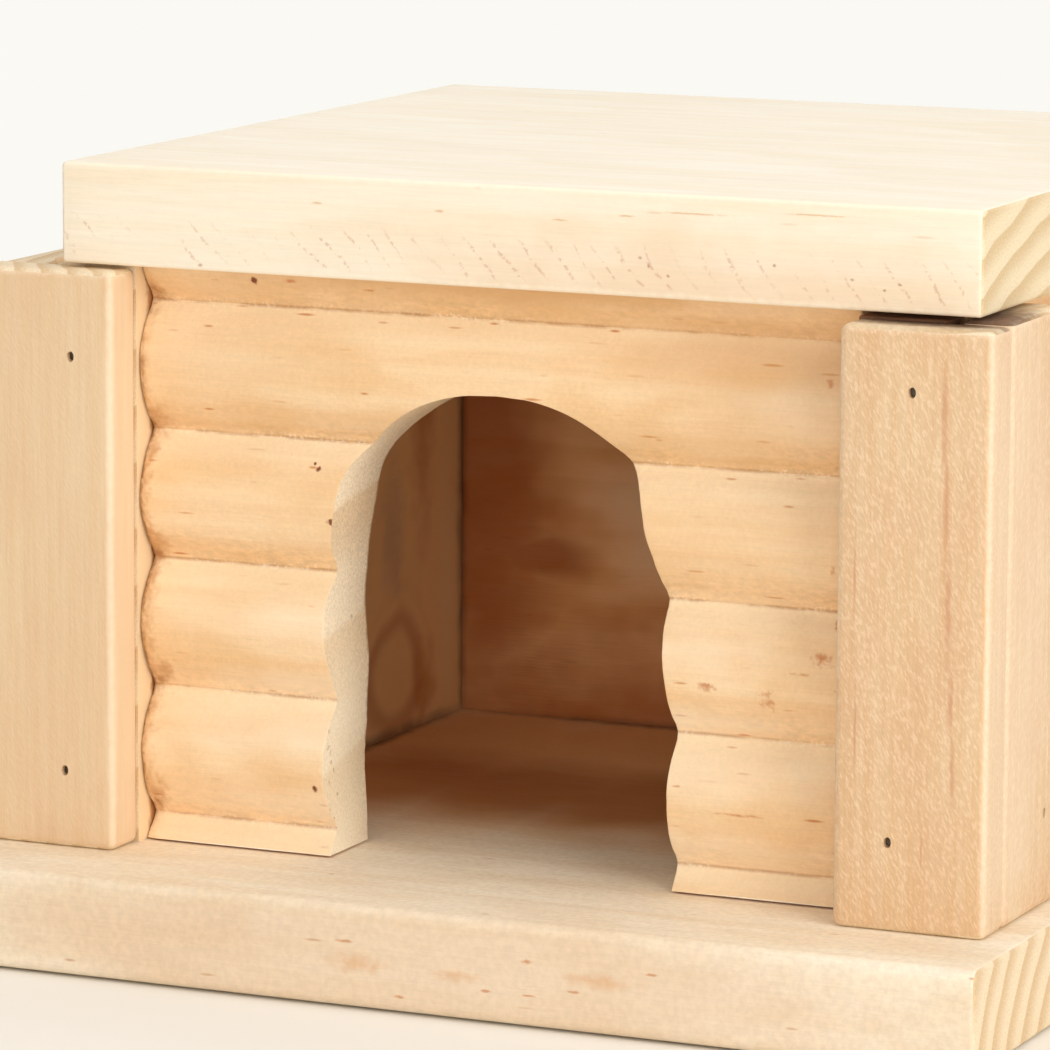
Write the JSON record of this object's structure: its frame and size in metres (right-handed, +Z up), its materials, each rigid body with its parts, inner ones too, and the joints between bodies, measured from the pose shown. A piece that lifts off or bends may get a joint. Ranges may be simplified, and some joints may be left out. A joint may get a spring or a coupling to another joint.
{
  "type": "wooden hamster house",
  "caption": "Small pine pet house with log-profiled walls, an arched doorway, corner battens, a base board with a doorstep and a flat roof that lifts off.",
  "frame": {"origin": "under the middle of the base board, on the surface that the house stands on", "axes": "+Z up, -Y out through the doorway, +X to the right of someone who faces the doorway"},
  "size_m": [0.204, 0.2022, 0.1406],
  "materials": {
    "pine_log_wall": "raw planed pine",
    "pine_batten": "raw fine-sawn pine",
    "pine_roof": "raw planed pine",
    "pine_cleat": "raw sawn pine",
    "pine_base": "raw planed pine",
    "steel_brad": "bright steel, dulled"
  },
  "bodies": {
    "house": {"base_board": "pine_base", "front_wall": "pine_log_wall", "back_wall": "pine_log_wall", "side_wall_left": "pine_log_wall", "side_wall_right": "pine_log_wall", "front_batten_left": "pine_batten", "front_batten_right": "pine_batten", "back_batten_left": "pine_batten", "back_batten_right": "pine_batten", "side_batten_front_left": "pine_batten", "side_batten_front_right": "pine_batten", "side_batten_rear_left": "pine_batten", "side_batten_rear_right": "pine_batten", "front_batten_brads": "steel_brad", "side_batten_brads": "steel_brad", "back_batten_brads": "steel_brad", "wall_brads": "steel_brad", "base_brads": "steel_brad"},
    "roof": {"roof_board": "pine_roof", "roof_cleat_left": "pine_cleat", "roof_cleat_right": "pine_cleat", "cleat_brads": "steel_brad"}
  },
  "joints": [
    {"name": "roof_lift", "type": "slide", "parent": "house", "child": "roof", "axis": [0, 0, 1], "range_m": [0, 0.08]}
  ]
}
